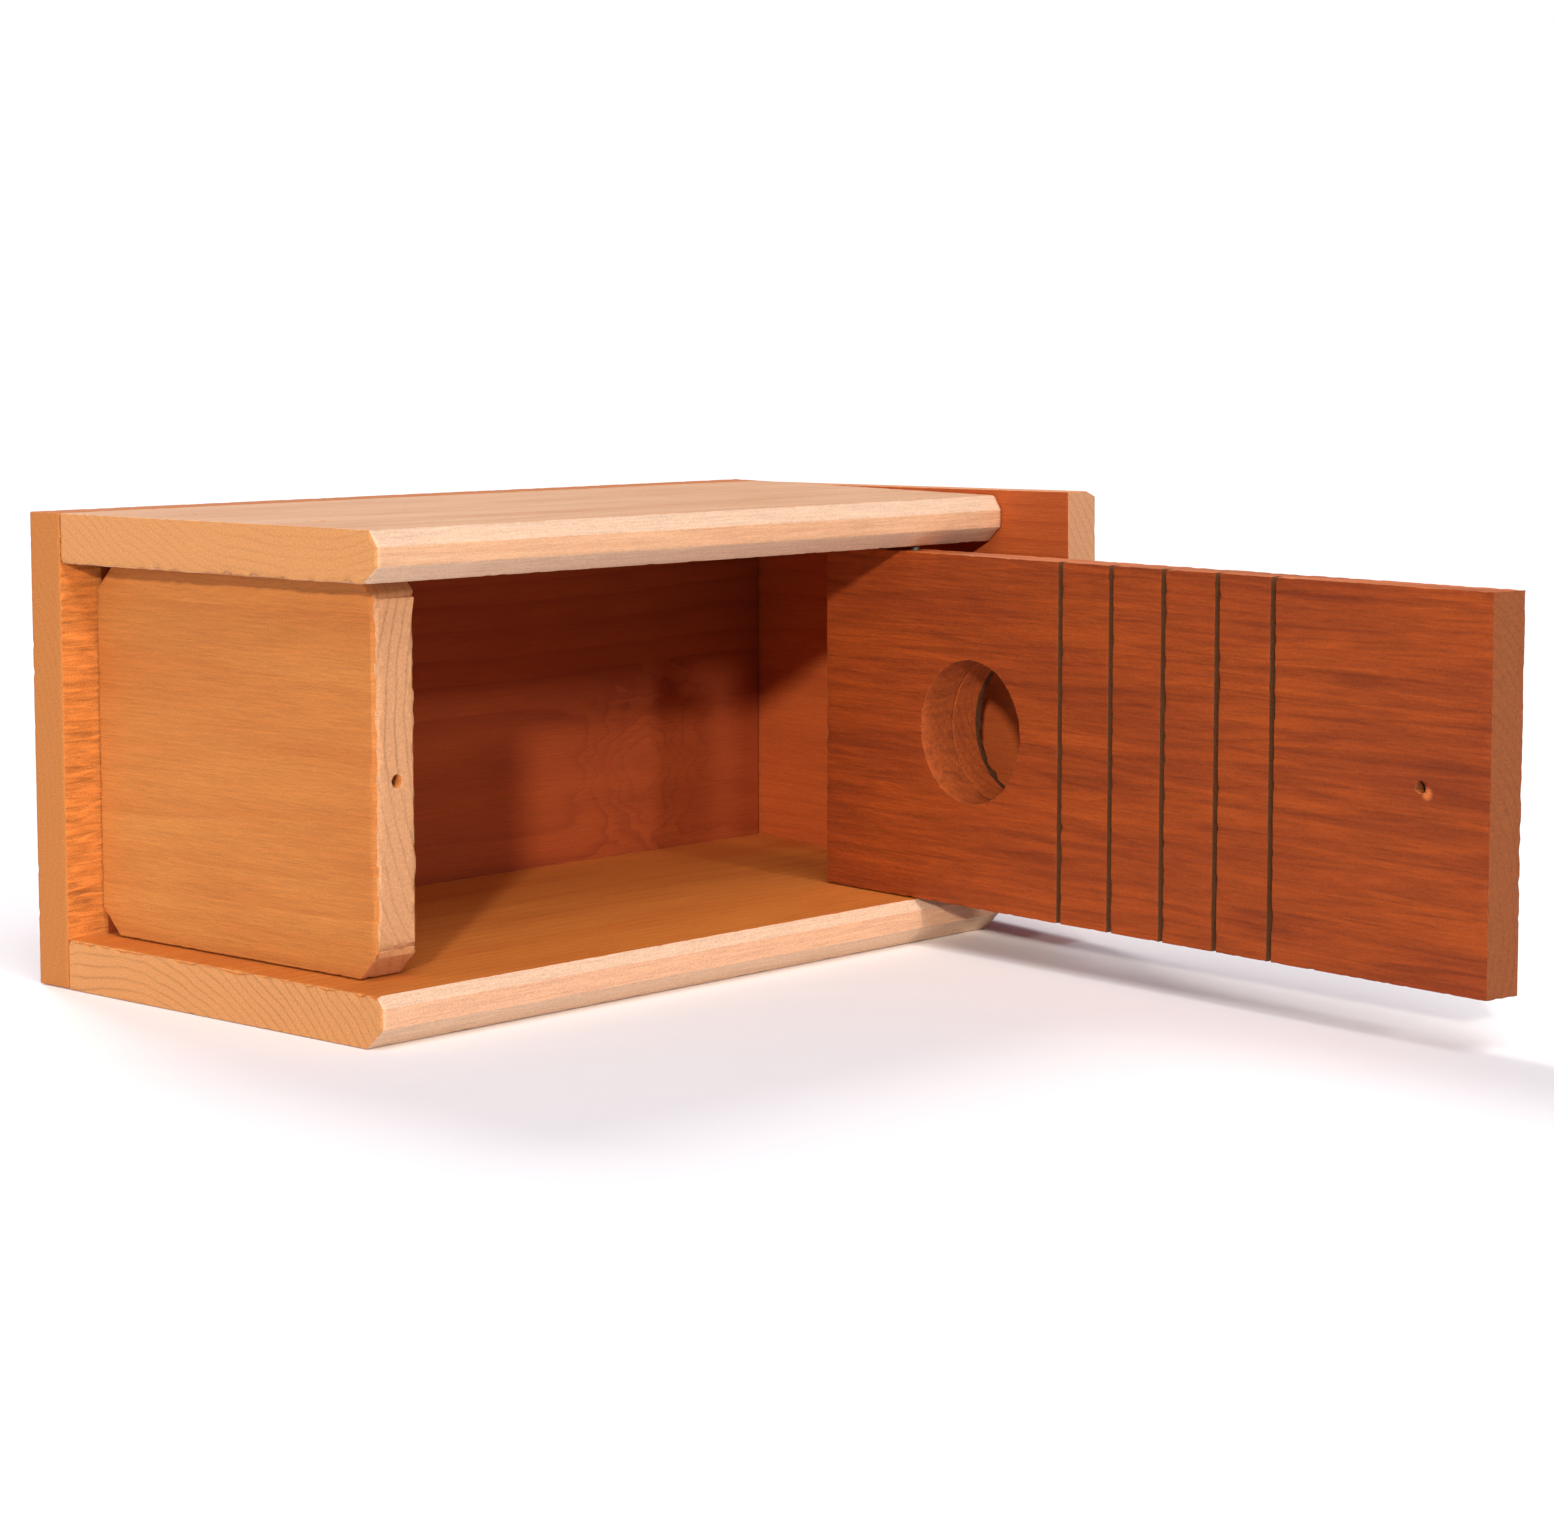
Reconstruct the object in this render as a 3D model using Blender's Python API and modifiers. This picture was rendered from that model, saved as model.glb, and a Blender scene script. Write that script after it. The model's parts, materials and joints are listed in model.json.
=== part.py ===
"""A wooden nest box with a swing-out front, lying on its right side with the front open.

Metres, +Z up. +X runs from the bottom end of the box to its roof, -Y is the front, and the box lies on
the outer face of its right side. Turned by -90 degrees about Y it hangs upright, on its back.
Every board stands in the frame of the empty "birdhouse". Its origin is the lower rear corner of the
right side.
"""

import math

import bmesh
import bpy
from mathutils import Matrix, Vector

GAP = 0.0003  # between two pieces that touch

# The box: two sides standing on a back board
BOX_WIDTH = 0.1203
SIDE_THICK = 0.0127
SIDE_DEPTH = 0.1192
BACK_THICK = 0.0123
BACK_LENGTH = 0.2580  # of the sides and the back board, where they meet
ROOF_PITCH = math.radians(15)
# A bevel is (how far it reaches back from the front edge, how far it reaches across the thickness)
RIGHT_OUTER_BEVEL = (0.0058, 0.0050)
RIGHT_INNER_BEVEL = (0.0023, 0.0028)
LEFT_OUTER_BEVEL = (0.0029, 0.0039)
LEFT_INNER_BEVEL = (0.0053, 0.0041)

# The roof lies on the slanted ends, a little out of square
ROOF_THICK = 0.0115
ROOF_WIDTH = 0.1155
ROOF_OVERHANG = 0.0306
ROOF_SKEW = math.radians(1)
ROOF_LIFT = 0.0042  # the height of its lowest corner, at the rear
ROOF_EASED = (0.0034, 0.0017)  # across the thickness, along the width

# The floor is set in, with clipped corners
FLOOR_THICK = 0.0130
FLOOR_INSET = 0.0108
FLOOR_DEPTH = 0.1055
FLOOR_CLIP = 0.0067
FLOOR_SMALL_CLIP = 0.0035  # of the front left corner

# The door swings about nails near its roof end; distances are from that end, along the inner face
DOOR_THICK = 0.0111
DOOR_LENGTH = 0.2321
DOOR_WIDTH = 0.0934
DOOR_OPEN = math.radians(81.7)
PIVOT_FROM_END = 0.0303
PIVOT = Vector((0.1986, -0.11165, 0.0))
HOLE_FROM_END = 0.0582
HOLE_RADIUS = 0.01905
HOLE_STEPS = 48
KERF_FROM_END = 0.0922
KERF_PITCH = 0.01825
KERF_COUNT = 5
KERF_WIDTH = 0.0014
KERF_DEPTH = 0.0025

# A square guard on the door's outer face makes the entrance hole deeper
GUARD_SIZE = 0.0762
GUARD_THICK = 0.0111
GUARD_EASED = 0.0015
GUARD_NAILS = (0.022, 0.030)  # from the middle of the hole, along and across the door

# Fasteners
NAIL_RADIUS = 0.00115
NAIL_LENGTH = 0.0320
GUARD_NAIL_LENGTH = 0.0195
NAIL_HEAD_RADIUS = 0.0017
NAIL_HEAD_THICK = 0.0014
NAIL_TIP = 0.0030
NAIL_SET = 0.0003  # a nail head lies this far under the wood's surface
NAIL_STEPS = 12
SCREW_RADIUS = 0.0012
SCREW_LENGTH = 0.0254
SCREW_HEAD_RADIUS = 0.0033
SCREW_HEAD_THICK = 0.0023
SCREW_TIP = 0.0040
SCREW_STEPS = 24
SCREW_TIP_INSIDE = 0.0010  # how far the backed-out tip stays inside the door
PILOT_DEPTH = 0.0160
BACK_NAILS_X = (0.040, 0.130, 0.215)
FLOOR_NAILS_Y = (-0.030, -0.078)
ROOF_SIDE_NAILS_Y = (-0.035, -0.095)
ROOF_SIDE_NAILS_Z = {"right": 0.0090, "left": 0.1130}
ROOF_BACK_NAILS_Z = (0.036, 0.085)
ROOF_BACK_NAIL_Y = 0.0036

OVERSHOOT = 0.002  # a cutter passes a face by this much
SIDE_MIDDLES = {"right": SIDE_THICK / 2, "left": BOX_WIDTH - SIDE_THICK / 2}
ROOF_NORMAL = Vector((math.cos(ROOF_PITCH), -math.sin(ROOF_PITCH), 0.0))
PILOT_X = FLOOR_INSET + FLOOR_THICK / 2


def clear_scene():
    for item in list(bpy.data.objects):
        bpy.data.objects.remove(item, do_unlink=True)


def collection(name, hidden=False):
    made = bpy.data.collections.new(name)
    made.hide_render = hidden
    bpy.context.scene.collection.children.link(made)
    return made


def material(name, colour, roughness, metallic=0.0):
    made = bpy.data.materials.new(name)
    made.use_nodes = True
    made.diffuse_color = (*colour, 1.0)
    shader = made.node_tree.nodes["Principled BSDF"]
    shader.inputs["Base Color"].default_value = (*colour, 1.0)
    shader.inputs["Roughness"].default_value = roughness
    shader.inputs["Metallic"].default_value = metallic
    return made


def add_object(name, mesh, parent, group, location=(0, 0, 0)):
    made = bpy.data.objects.new(name, mesh)
    made.parent = parent
    made.location = location
    group.objects.link(made)
    return made


def empty(name, parent, location, turn=0.0):
    made = add_object(name, None, parent, PARTS, location)
    made.rotation_euler = (0, 0, turn)
    made.empty_display_size = 0.02
    return made


def saw(shape, point, normal):
    """Takes off what lies beyond a plane, and closes the cut."""
    geometry = [*shape.verts, *shape.edges, *shape.faces]
    cut = bmesh.ops.bisect_plane(shape, geom=geometry, plane_co=point, plane_no=normal, clear_outer=True)
    edges = [item for item in cut["geom_cut"] if isinstance(item, bmesh.types.BMEdge)]
    bmesh.ops.edgeloop_fill(shape, edges=edges)
    bmesh.ops.recalc_face_normals(shape, faces=shape.faces)


def block(name, low, high, parent, group, cuts=()):
    """A box between two corners in its parent's frame. Each cut is a plane there: (point, outward normal)."""
    low = Vector(low)
    high = Vector(high)
    centre = (low + high) / 2
    shape = bmesh.new()
    bmesh.ops.create_cube(shape, size=1.0, matrix=Matrix.Diagonal((*(high - low), 1.0)))
    for point, normal in cuts:
        saw(shape, Vector(point) - centre, Vector(normal))
    mesh = bpy.data.meshes.new(name)
    shape.to_mesh(mesh)
    shape.free()
    return add_object(name, mesh, parent, group, centre)


def board(name, low, high, parent, look, cuts=()):
    made = block(name, low, high, parent, PARTS, cuts)
    made.data.materials.append(look)
    return made


def turned(name, profile, parent, group, location, outward, steps):
    """A round piece from a profile of (radius, height) points, top to bottom, with its top facing outward."""
    mesh = bpy.data.meshes.new(name)
    points = [(radius, 0.0, height) for radius, height in profile]
    edges = [(index, index + 1) for index in range(len(profile) - 1)]
    mesh.from_pydata(points, edges, [])
    made = add_object(name, mesh, parent, group, location)
    made.rotation_mode = "QUATERNION"
    made.rotation_quaternion = Vector(outward).to_track_quat("Z", "Y")
    screw = made.modifiers.new("turn", "SCREW")
    screw.steps = steps
    screw.render_steps = steps
    screw.use_merge_vertices = True
    screw.merge_threshold = 0.00001
    screw.use_smooth_shade = True
    return made


def as_cutter(cutter):
    cutter.hide_render = True
    cutter.display_type = "WIRE"
    return cutter


def cut_from(target, cutter):
    boolean = target.modifiers.new(cutter.name, "BOOLEAN")
    boolean.operation = "DIFFERENCE"
    boolean.solver = "EXACT"
    boolean.object = cutter


def fastener_profile(shank, head, head_thick, length, tip):
    """From the top of the head, at height 0, down to the point."""
    return [
        (0.0, 0.0),
        (head, 0.0),
        (head, -head_thick),
        (shank, -head_thick),
        (shank, tip - length),
        (0.0, -length),
    ]


def nail(name, surface_point, outward, hosts, parent=None, length=NAIL_LENGTH):
    """A headed nail driven in at a surface point, and its hole, recessed for the head, in each host board."""
    parent = parent or ROOT
    outward = Vector(outward).normalized()
    top = Vector(surface_point) - outward * NAIL_SET
    profile = fastener_profile(NAIL_RADIUS, NAIL_HEAD_RADIUS, NAIL_HEAD_THICK, length, NAIL_TIP)
    made = turned(name, profile, parent, PARTS, top, outward, NAIL_STEPS)
    made.data.materials.append(STEEL)
    hole = [
        (0.0, OVERSHOOT),
        (NAIL_HEAD_RADIUS + GAP, OVERSHOOT),
        (NAIL_HEAD_RADIUS + GAP, -NAIL_HEAD_THICK - GAP),
        (NAIL_RADIUS + GAP, -NAIL_HEAD_THICK - GAP),
        (NAIL_RADIUS + GAP, -length - GAP),
        (0.0, -length - GAP),
    ]
    cutter = as_cutter(turned(name + "_hole", hole, parent, CUTTERS, top, outward, NAIL_STEPS))
    for host in hosts:
        cut_from(host, cutter)


def side_end(y):
    """Where the slanted roof end of the sides and the back board lies, at a depth y."""
    return BACK_LENGTH + y * math.tan(ROOF_PITCH)


def roof_end_cut():
    return (side_end(0.0), 0.0, 0.0), ROOF_NORMAL


def bevel_cut(face_z, into, bevel):
    """The plane of a bevel on a side's front edge; into is +1 where the wood lies above face_z, else -1."""
    back, across = bevel
    return (0.0, -SIDE_DEPTH, face_z + into * across), (0.0, -across, -into * back)


def make_side(name, low_z, low_bevel, high_bevel):
    high_z = low_z + SIDE_THICK
    cuts = [roof_end_cut(), bevel_cut(low_z, 1, low_bevel), bevel_cut(high_z, -1, high_bevel)]
    return board(name, (0.0, -SIDE_DEPTH, low_z), (BACK_LENGTH, -GAP, high_z), ROOT, CEDAR, cuts)


def make_back():
    high = (side_end(BACK_THICK), BACK_THICK, BOX_WIDTH)
    return board("back_board", (0.0, 0.0, 0.0), high, ROOT, CEDAR, [roof_end_cut()])


def make_roof():
    """A board in the frame of its own slope: X across the thickness, Y towards the rear, Z across the width."""
    slope = empty("roof_slope", ROOT, (side_end(0.0) + GAP / math.cos(ROOF_PITCH), 0.0, ROOF_LIFT))
    slope.rotation_euler = (-ROOF_SKEW, 0.0, -ROOF_PITCH)
    front = SIDE_DEPTH + ROOF_OVERHANG
    front_normal = Vector((math.sin(ROOF_PITCH), -math.cos(ROOF_PITCH), 0.0))
    rear_normal = slope.rotation_euler.to_matrix().transposed() @ Vector((0, 1, 0))
    cuts = [(front_normal * front, front_normal), (rear_normal * BACK_THICK, rear_normal)]
    eased_x, eased_z = ROOF_EASED
    for edge_z, up in ((0.0, -1), (ROOF_WIDTH, 1)):
        cuts.append(((ROOF_THICK - eased_x, 0.0, edge_z), (eased_z, 0.0, up * eased_x)))
    reach = front / math.cos(ROOF_PITCH) + ROOF_THICK
    high = (ROOF_THICK, BACK_THICK * 2, ROOF_WIDTH)
    return board("roof_board", (0.0, -reach, 0.0), high, slope, CEDAR, cuts)


def make_floor():
    low = Vector((FLOOR_INSET, -FLOOR_DEPTH, SIDE_THICK + GAP))
    high = Vector((FLOOR_INSET + FLOOR_THICK, -GAP, BOX_WIDTH - SIDE_THICK - GAP))
    cuts = []
    for y, towards_y in ((low.y, -1), (high.y, 1)):
        for z, towards_z in ((low.z, -1), (high.z, 1)):
            clip = FLOOR_SMALL_CLIP if (towards_y, towards_z) == (-1, 1) else FLOOR_CLIP
            cuts.append(((FLOOR_INSET, y, z - towards_z * clip), (0.0, towards_y, towards_z)))
    floor = board("floor_board", low, high, ROOT, CEDAR, cuts)
    radius = SCREW_RADIUS + GAP
    hole = [(0.0, OVERSHOOT), (radius, OVERSHOOT), (radius, -PILOT_DEPTH), (0.0, -PILOT_DEPTH)]
    mouth = (PILOT_X, -FLOOR_DEPTH, BOX_WIDTH / 2)
    cut_from(floor, as_cutter(turned("pilot_hole", hole, ROOT, CUTTERS, mouth, (0, -1, 0), NAIL_STEPS)))
    return floor


def along_door(from_end):
    """The door frame's X of a point, from its distance to the roof end of the door's inner face."""
    return PIVOT_FROM_END - from_end


def make_door(pivot):
    """The door, shut in its pivot's frame: X towards the roof, Y towards the back, Z across the box."""
    inner_y = DOOR_THICK / 2
    low_z = SIDE_THICK + GAP
    low = (along_door(DOOR_LENGTH), -inner_y, low_z)
    high = (along_door(0.0), inner_y, low_z + DOOR_WIDTH)
    roof_end = ((along_door(0.0), inner_y, low_z), ROOF_NORMAL)
    door = board("front_door", low, high, pivot, CEDAR_DOOR, [roof_end])

    for number in range(KERF_COUNT):
        x = along_door(KERF_FROM_END + number * KERF_PITCH)
        kerf_low = (x - KERF_WIDTH / 2, inner_y - KERF_DEPTH, low_z - OVERSHOOT)
        kerf_high = (x + KERF_WIDTH / 2, inner_y + OVERSHOOT, low_z + DOOR_WIDTH + OVERSHOOT)
        cut_from(door, as_cutter(block(f"kerf_{number + 1}", kerf_low, kerf_high, pivot, CUTTERS)))
    return door


def make_guard(pivot, door):
    """The guard on the door's outer face, its nails, and the entrance hole through both."""
    middle = Vector((along_door(HOLE_FROM_END), 0.0, SIDE_THICK + GAP + DOOR_WIDTH / 2))
    half = GUARD_SIZE / 2
    inner_y = -DOOR_THICK / 2 - GAP
    outer_y = inner_y - GUARD_THICK
    low = (middle.x - half, outer_y, middle.z - half)
    high = (middle.x + half, inner_y, middle.z + half)
    cuts = []
    for side in (-1, 1):
        cuts.append(((middle.x + side * half, outer_y + GUARD_EASED, 0.0), (side, -1, 0.0)))
        cuts.append(((middle.x, outer_y + GUARD_EASED, middle.z + side * half), (0.0, -1, side)))
    guard = board("entrance_guard", low, high, pivot, CEDAR_DOOR, cuts)

    near = DOOR_THICK / 2 + OVERSHOOT
    far = outer_y - OVERSHOOT
    entrance = [(0.0, near), (HOLE_RADIUS, near), (HOLE_RADIUS, far), (0.0, far)]
    cutter = as_cutter(turned("entrance_hole", entrance, pivot, CUTTERS, middle, (0, 1, 0), HOLE_STEPS))
    cut_from(door, cutter)
    cut_from(guard, cutter)

    along, across = GUARD_NAILS
    places = [(x, z) for x in (-along, along) for z in (-across, across)]
    for number, (x, z) in enumerate(places, 1):
        point = (middle.x + x, outer_y, middle.z + z)
        nail(f"guard_nail_{number}", point, (0, -1, 0), [guard, door], pivot, GUARD_NAIL_LENGTH)


def make_closing_screw(pivot, door):
    """The screw and its hole, at the place that faces the floor's pilot hole when the door is shut."""
    radius = SCREW_RADIUS + GAP
    reach = DOOR_THICK / 2 + OVERSHOOT
    x = PILOT_X - PIVOT.x
    hole = [(0.0, reach), (radius, reach), (radius, -reach), (0.0, -reach)]
    place = (x, 0.0, BOX_WIDTH / 2)
    cut_from(door, as_cutter(turned("screw_hole", hole, pivot, CUTTERS, place, (0, -1, 0), NAIL_STEPS)))

    profile = fastener_profile(SCREW_RADIUS, SCREW_HEAD_RADIUS, SCREW_HEAD_THICK, SCREW_LENGTH, SCREW_TIP)
    tip_y = DOOR_THICK / 2 - SCREW_TIP_INSIDE
    top = (x, tip_y - SCREW_LENGTH, BOX_WIDTH / 2)
    screw = turned("closing_screw", profile, pivot, PARTS, top, (0, -1, 0), SCREW_STEPS)
    screw.data.materials.append(STEEL)


def make_nails(sides, back, roof, floor, door):
    faces = {"right": (0.0, Vector((0, 0, -1))), "left": (BOX_WIDTH, Vector((0, 0, 1)))}
    for hand, side in sides.items():
        face_z, outward = faces[hand]
        middle = SIDE_MIDDLES[hand]
        nail(f"pivot_nail_{hand}", (PIVOT.x, PIVOT.y, face_z), outward, [side, door])
        for number, y in enumerate(FLOOR_NAILS_Y, 1):
            nail(f"floor_nail_{hand}_{number}", (PILOT_X, y, face_z), outward, [side, floor])
        for number, x in enumerate(BACK_NAILS_X, 1):
            nail(f"back_nail_{hand}_{number}", (x, BACK_THICK, middle), (0, 1, 0), [back, side])
        for number, y in enumerate(ROOF_SIDE_NAILS_Y, 1):
            roof_nail(f"roof_nail_{hand}_{number}", y, ROOF_SIDE_NAILS_Z[hand], [roof, side])
    for number, z in enumerate(ROOF_BACK_NAILS_Z, 1):
        roof_nail(f"roof_nail_back_{number}", ROOF_BACK_NAIL_Y, z, [roof, back])


def roof_nail(name, y, z, hosts):
    """A nail square to the roof, through the point of the slanted ends at this depth and height."""
    through = Vector((side_end(y), y, z))
    roof_outer = GAP + ROOF_THICK
    nail(name, through + ROOF_NORMAL * roof_outer, ROOF_NORMAL, hosts)


def world_points(piece, graph):
    evaluated = piece.evaluated_get(graph)
    mesh = evaluated.to_mesh()
    points = [evaluated.matrix_world @ vertex.co for vertex in mesh.vertices]
    evaluated.to_mesh_clear()
    return points


def centre_on_origin(root, pieces):
    """Moves the root so that the whole object stands on the origin, centred over it."""
    graph = bpy.context.evaluated_depsgraph_get()
    points = [point for piece in pieces for point in world_points(piece, graph)]
    for axis in (0, 1):
        values = [point[axis] for point in points]
        root.location[axis] -= (min(values) + max(values)) / 2
    root.location.z -= min(point.z for point in points)
    bpy.context.view_layer.update()


clear_scene()
PARTS = collection("birdhouse")
CUTTERS = collection("cutters", hidden=True)
CEDAR = material("cedar", (0.62, 0.33, 0.15), 0.75)
CEDAR_DOOR = material("cedar_door", (0.42, 0.16, 0.055), 0.75)
STEEL = material("zinc_steel", (0.55, 0.55, 0.54), 0.45, 1.0)
ROOT = empty("birdhouse", None, (0, 0, 0))
SIDES = {
    "right": make_side("right_side", 0.0, RIGHT_OUTER_BEVEL, RIGHT_INNER_BEVEL),
    "left": make_side("left_side", BOX_WIDTH - SIDE_THICK, LEFT_INNER_BEVEL, LEFT_OUTER_BEVEL),
}
BACK = make_back()
ROOF = make_roof()
FLOOR = make_floor()
DOOR_PIVOT = empty("door_pivot", ROOT, PIVOT, DOOR_OPEN)
DOOR = make_door(DOOR_PIVOT)
make_guard(DOOR_PIVOT, DOOR)
make_closing_screw(DOOR_PIVOT, DOOR)
make_nails(SIDES, BACK, ROOF, FLOOR, DOOR)
bpy.context.view_layer.update()
centre_on_origin(ROOT, [item for item in PARTS.objects if item.type == "MESH"])
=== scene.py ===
"""A cedar nest box lying on its side with its front open: the looks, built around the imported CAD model.

Each board is rebuilt from its CAD solid in a frame of its own, with X along the grain: its arrises are
eased, its faces are cut into small ones, and saw marks, torn grain and chips are worked into them. The
figure of the wood comes from the rings of one log per board, so the lines on a face run on into its end
grain.
"""

import json
import math

import bmesh
import bpy
from mathutils import Matrix, Vector, noise


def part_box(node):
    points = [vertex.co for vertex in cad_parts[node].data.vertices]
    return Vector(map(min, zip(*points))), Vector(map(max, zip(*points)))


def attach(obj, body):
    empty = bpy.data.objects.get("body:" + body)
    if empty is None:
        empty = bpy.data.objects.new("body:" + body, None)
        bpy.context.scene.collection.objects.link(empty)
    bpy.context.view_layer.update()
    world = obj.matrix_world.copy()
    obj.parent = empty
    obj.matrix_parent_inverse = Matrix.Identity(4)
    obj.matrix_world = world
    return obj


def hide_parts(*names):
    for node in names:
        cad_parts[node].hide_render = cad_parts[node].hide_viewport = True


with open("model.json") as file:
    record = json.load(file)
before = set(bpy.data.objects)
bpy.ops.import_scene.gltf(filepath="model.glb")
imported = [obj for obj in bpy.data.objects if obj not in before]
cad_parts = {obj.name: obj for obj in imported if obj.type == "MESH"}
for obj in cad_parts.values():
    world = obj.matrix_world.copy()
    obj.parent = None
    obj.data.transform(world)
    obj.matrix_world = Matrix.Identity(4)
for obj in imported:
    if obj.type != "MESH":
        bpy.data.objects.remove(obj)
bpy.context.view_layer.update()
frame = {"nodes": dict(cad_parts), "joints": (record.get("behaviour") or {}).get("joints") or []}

MM = 0.001

# Where the boards are
JOINTS = {joint["name"]: joint for joint in frame["joints"]}
BOX_ORIGIN = Vector((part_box("back_board")[0].x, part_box("back_board")[0].y, 0.0))
PIVOT = Vector(JOINTS["door_hinge"]["pos_m"])
DOOR_TURN = -math.radians(JOINTS["door_hinge"]["range_deg"][0])
ROOF_PITCH = math.radians(15)
ROOF_SKEW = math.radians(1)
ROOF_OUT = Vector((math.cos(ROOF_PITCH), -math.sin(ROOF_PITCH), 0.0))
SCREW_IN = Vector(JOINTS["closing_screw_slide"]["axis"])

# Camera, in the frame of the box: X towards the roof, -Y to the front
CAMERA_PLACE = Vector((-0.5380, -0.7301, 0.1648))
CAMERA_AZIMUTH = math.radians(-47.412)
CAMERA_FALL = math.radians(5.971)
CAMERA_ROLL = math.radians(-0.103)
CAMERA_LENS = 82.74
CAMERA_SHIFT = (0.0140, -0.0372)

# Light. A direction is (degrees from the front towards the floor end of the box, degrees above the ground)
KEY = {"direction": (52.5, 16.9), "strength": 2.5, "colour": (1.0, 0.91, 0.80), "angle": 3.2}
SIDE_LIGHT = {"direction": (10.6, 20.7), "strength": 0.8, "colour": (1.0, 0.93, 0.86), "angle": 5.0}
HIGH_LIGHT = {"direction": (35.0, 55.0), "strength": 1.6, "colour": (1.0, 0.97, 0.95), "angle": 35.0}
BACK_LIGHT = {"direction": (205.0, 40.0), "strength": 1.6, "colour": (1.0, 0.98, 0.95), "angle": 20.0}
AMBIENT = 0.18
AMBIENT_COLOUR = (0.90, 0.90, 1.35, 1.0)

# Meshes
FACE_SIZE = 1.4 * MM
EASING = 0.40 * MM
WELD = 0.001 * MM
CUT_FACE_ANGLE = math.radians(20)  # edges flatter than this aren't arrises
RIM_ANGLE = math.radians(60)
SHORTEST_ARRIS = 6 * MM

# Places on the boards, each in its board's own frame
TORN_END = 12 * MM  # of the back board's torn strip, which starts at the bottom end
TORN_PALE_END = 13 * MM  # its colour runs on under the floor board
FLOOR_FRONT = -105.5 * MM
LEFT_INNER_Z = 107.6 * MM
RIGHT_INNER_Z = 12.7 * MM
ENTRANCE_RADIUS = 19.05 * MM
ENTRANCE_FROM_PIVOT = -27.9 * MM
ENTRANCE_Z = 59.7 * MM
KERFS_X = [-(61.9 + 18.25 * number) * MM for number in range(5)]
KERF_FLOOR_Y = 3.05 * MM
DOOR_INNER_Y = 5.55 * MM
GUARD_OUTER_Y = -16.95 * MM
DOOR_BOARDS = ("front_door", "entrance_guard")

# How much a face is marked, from 0 to 1. The material reads these layers of the mesh; the third is painted
# shade
MARKS = ("end", "pale", "groove")
# Painted shade: how dark the walls and floors of the door's kerfs are painted, for the shade inside these
# narrow grooves
KERF_PAINTED_SHADE = 0.62
# Painted shadow on the entrance's wall at the guard's outer rim, for the shade in the narrow gap there
RIM_PAINTED_SHADOW = 0.8
HOLE_PALE = 0.2
EDGE_PALE = 0.85  # of the back board's long edges
FRONT_PALE = {"left_side": 0.2, "right_side": 0.7}

# Wood. Distances in its figure are in millimetres
END_LATE_SHARE = 0.55  # how dark the late wood of a ring is on end grain
BLOTCH_SHARE = 0.45  # how dark a blotch is, beside the late wood
# The near-black colour of the painted shade in the kerfs and at the guard's rim
PAINTED_SHADE_COLOUR = (0.030, 0.022, 0.010, 1.0)
# Darkness through a year's ring, as (position, level) points
FACE_RING = [(0.0, 0.10), (0.25, 0.0), (0.62, 0.22), (0.86, 0.9), (0.95, 1.0), (1.0, 0.15)]
END_RING = [(0.0, 0.3), (0.12, 0.0), (0.72, 0.05), (0.93, 1.0), (1.0, 0.3)]
PLAIN_FIGURE = {
    "spacing": 2.6,  # of the rings
    "ring_share": 0.6,  # how strong the rings are along the grain
    "end_share": 0.4,  # and on end grain
    "wave": 2.0,  # how far the rings wander
    "fibre": 0.5,  # how streaky the wood is
    "rough": 0.0,  # how torn it is
    "blotches": 0.0,  # how strong its dark bands are
    "ridge_share": 0.0,  # how ridged it is where it is fully pale
    "knots": (),  # each is X, Y, Z, its width and how far it bends the rings
    "chips": (),  # pale ones, each X, Y, Z and its reach
}

# Fasteners, in millimetres
NAIL_LENGTH = 32.0
GUARD_NAIL_LENGTH = 19.5
SCREW_LENGTH = 25.4
SCREW_PITCH = 1.25


def board_frames():
    """Each board's frame: X along its grain. Y of sides, back and shut door is towards the back."""
    box = Matrix.Translation(BOX_ORIGIN)
    door = Matrix.Translation((PIVOT.x, PIVOT.y, 0.0)) @ Matrix.Rotation(DOOR_TURN, 4, "Z")
    slope = Matrix.Rotation(-ROOF_PITCH, 4, "Z") @ Matrix.Rotation(-ROOF_SKEW, 4, "X")
    # The grain of the roof and of the floor runs from front to back
    across = Matrix.Rotation(math.radians(90), 4, "Z")
    roof = Matrix.Translation(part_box("roof_board")[0]) @ slope @ across
    return {
        "back_board": box,
        "left_side": box,
        "right_side": box,
        "floor_board": box @ across,
        "roof_board": roof,
        "front_door": door,
        "entrance_guard": door,
    }


# ---------------------------------------------------------------- meshes


def bumps(point, scale, seed=0.0):
    """Smooth noise from -1 to 1, with a scale in repeats per metre for each axis."""
    shift = Vector((seed, -seed, 2 * seed))
    return noise.noise(point * Vector(scale) + shift)


def from_entrance(point):
    """How far outside the entrance hole's wall a point of the door or of its guard lies."""
    return math.hypot(point.x - ENTRANCE_FROM_PIVOT, point.z - ENTRANCE_Z) - ENTRANCE_RADIUS


def is_entrance_rim(edge):
    return abs(from_entrance((edge.verts[0].co + edge.verts[1].co) / 2)) < 0.1 * MM


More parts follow.
